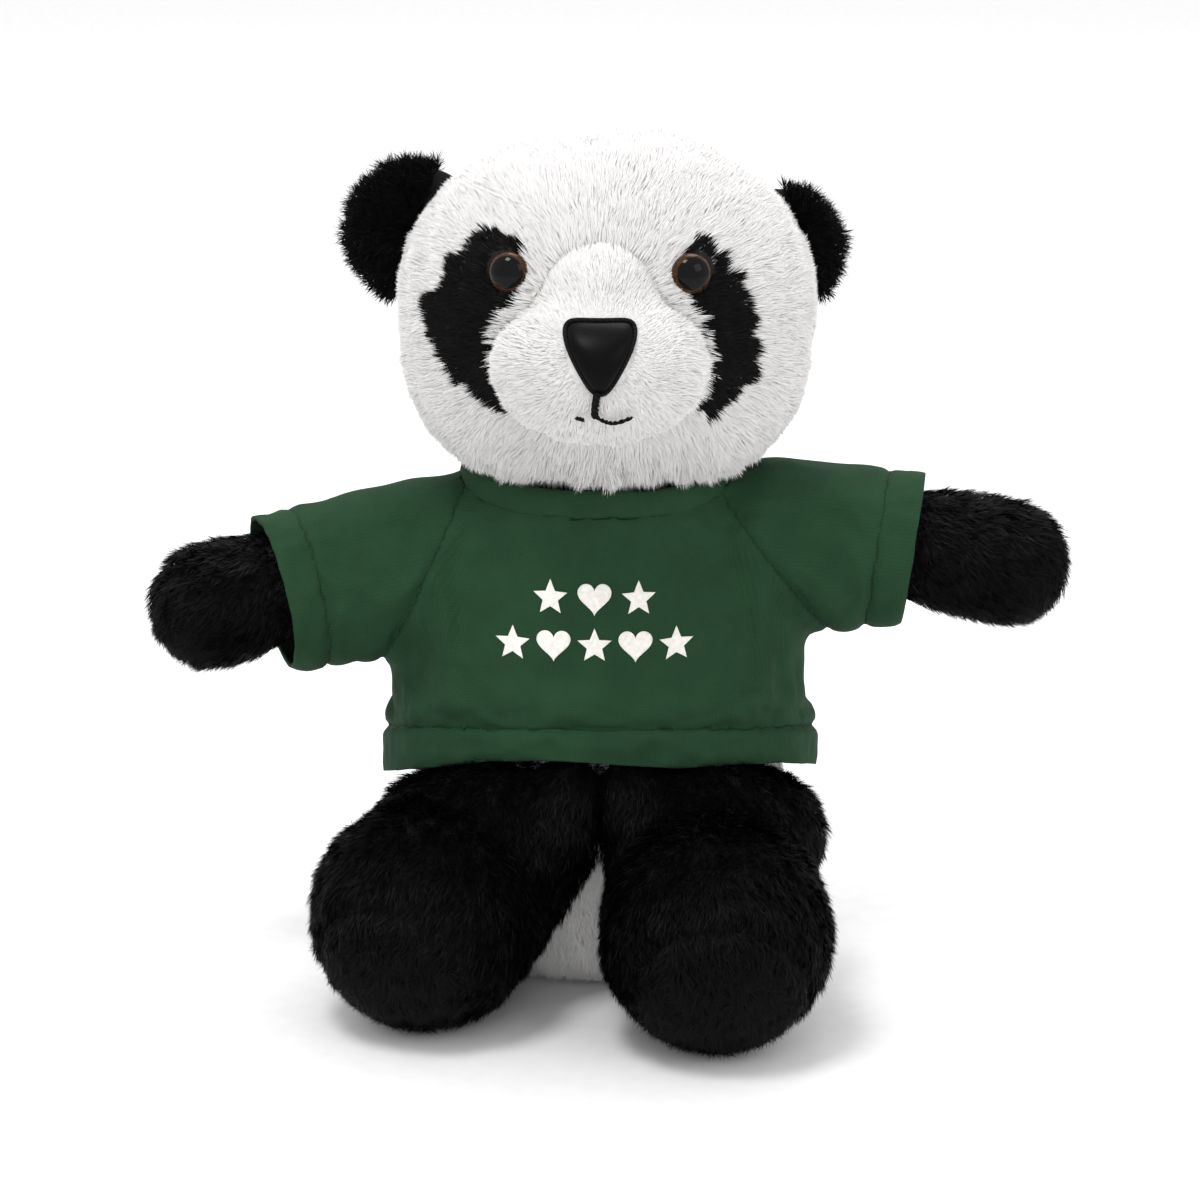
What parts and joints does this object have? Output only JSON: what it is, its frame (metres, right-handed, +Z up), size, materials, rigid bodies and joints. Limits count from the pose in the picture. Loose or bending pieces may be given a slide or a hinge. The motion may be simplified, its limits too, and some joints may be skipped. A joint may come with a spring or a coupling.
{
  "type": "plush panda",
  "caption": "Sitting plush panda in a raglan T-shirt, with a head that turns and nods, flapping ears, lifting arms and hinged legs, and a flat seat.",
  "frame": {"origin": "middle of the flat seat that the panda rests on", "axes": "+X to the panda's own left, -Y the way it faces, +Z up"},
  "size_m": [0.2057, 0.1212, 0.193],
  "materials": {
    "white_plush": "short white pile",
    "black_plush": "short black pile",
    "fibre_fill": "loose polyester fibre",
    "green_knit": "fine cotton jersey",
    "print_ink": "matt screen print",
    "label_satin": "blank satin tape",
    "eye_plastic": "polished black",
    "washer_plastic": "moulded natural nylon",
    "nose_cloth": "satin-stitched black cloth",
    "black_thread": "embroidery thread"
  },
  "bodies": {
    "torso": {"torso_skin": "white_plush", "shoulder_yoke": "black_plush", "torso_stuffing": "fibre_fill", "care_label": "label_satin", "shirt_front": "green_knit", "shirt_back": "green_knit", "shirt_hem": "green_knit", "shirt_neckband": "green_knit", "shirt_print": "print_ink"},
    "neck": {"neck_stuffing": "fibre_fill"},
    "head": {"head_front": "white_plush", "head_back": "white_plush", "head_stuffing": "fibre_fill", "muzzle": "white_plush", "nose": "nose_cloth", "mouth_stitches": "black_thread", "eye_patch_left": "black_plush", "eye_patch_right": "black_plush", "eye_left": "eye_plastic", "eye_right": "eye_plastic", "eye_washer_left": "washer_plastic", "eye_washer_right": "washer_plastic"},
    "ear_left": {"ear_front_left": "black_plush", "ear_back_left": "black_plush"},
    "ear_right": {"ear_front_right": "black_plush", "ear_back_right": "black_plush"},
    "arm_left": {"arm_skin_left": "black_plush", "arm_stuffing_left": "fibre_fill", "sleeve_left": "green_knit", "cuff_left": "green_knit"},
    "arm_right": {"arm_skin_right": "black_plush", "arm_stuffing_right": "fibre_fill", "sleeve_right": "green_knit", "cuff_right": "green_knit"},
    "leg_left": {"leg_skin_left": "black_plush", "foot_sole_left": "black_plush", "leg_stuffing_left": "fibre_fill"},
    "leg_right": {"leg_skin_right": "black_plush", "foot_sole_right": "black_plush", "leg_stuffing_right": "fibre_fill"}
  },
  "joints": [
    {"name": "head_turn", "type": "hinge", "parent": "torso", "child": "neck", "pos_m": [0, 0, 0.086], "axis": [0, 0, 1], "range_deg": [-30, 30]},
    {"name": "head_nod", "type": "hinge", "parent": "neck", "child": "head", "pos_m": [0, 0, 0.086], "axis": [1, 0, 0], "range_deg": [-8, 8]},
    {"name": "ear_left_flap", "type": "hinge", "parent": "head", "child": "ear_left", "pos_m": [0.046, 0.003, 0.16736], "axis": [0.4276, 0, -0.904], "range_deg": [-20, 20]},
    {"name": "ear_right_flap", "type": "hinge", "parent": "head", "child": "ear_right", "pos_m": [-0.04301, 0.003, 0.16736], "axis": [0.4276, 0, 0.904], "range_deg": [-20, 20]},
    {"name": "arm_left_lift", "type": "hinge", "parent": "torso", "child": "arm_left", "pos_m": [0.039, 0, 0.0975], "axis": [0, -1, 0], "range_deg": [-30, 45]},
    {"name": "arm_right_lift", "type": "hinge", "parent": "torso", "child": "arm_right", "pos_m": [-0.039, 0, 0.094], "axis": [0, 1, 0], "range_deg": [-30, 45]},
    {"name": "leg_left_swing", "type": "hinge", "parent": "torso", "child": "leg_left", "pos_m": [0.024, -0.017, 0.027], "axis": [1, 0, 0], "range_deg": [-15, 45]},
    {"name": "leg_right_swing", "type": "hinge", "parent": "torso", "child": "leg_right", "pos_m": [-0.024, -0.012, 0.027], "axis": [1, 0, 0], "range_deg": [-15, 45]}
  ]
}
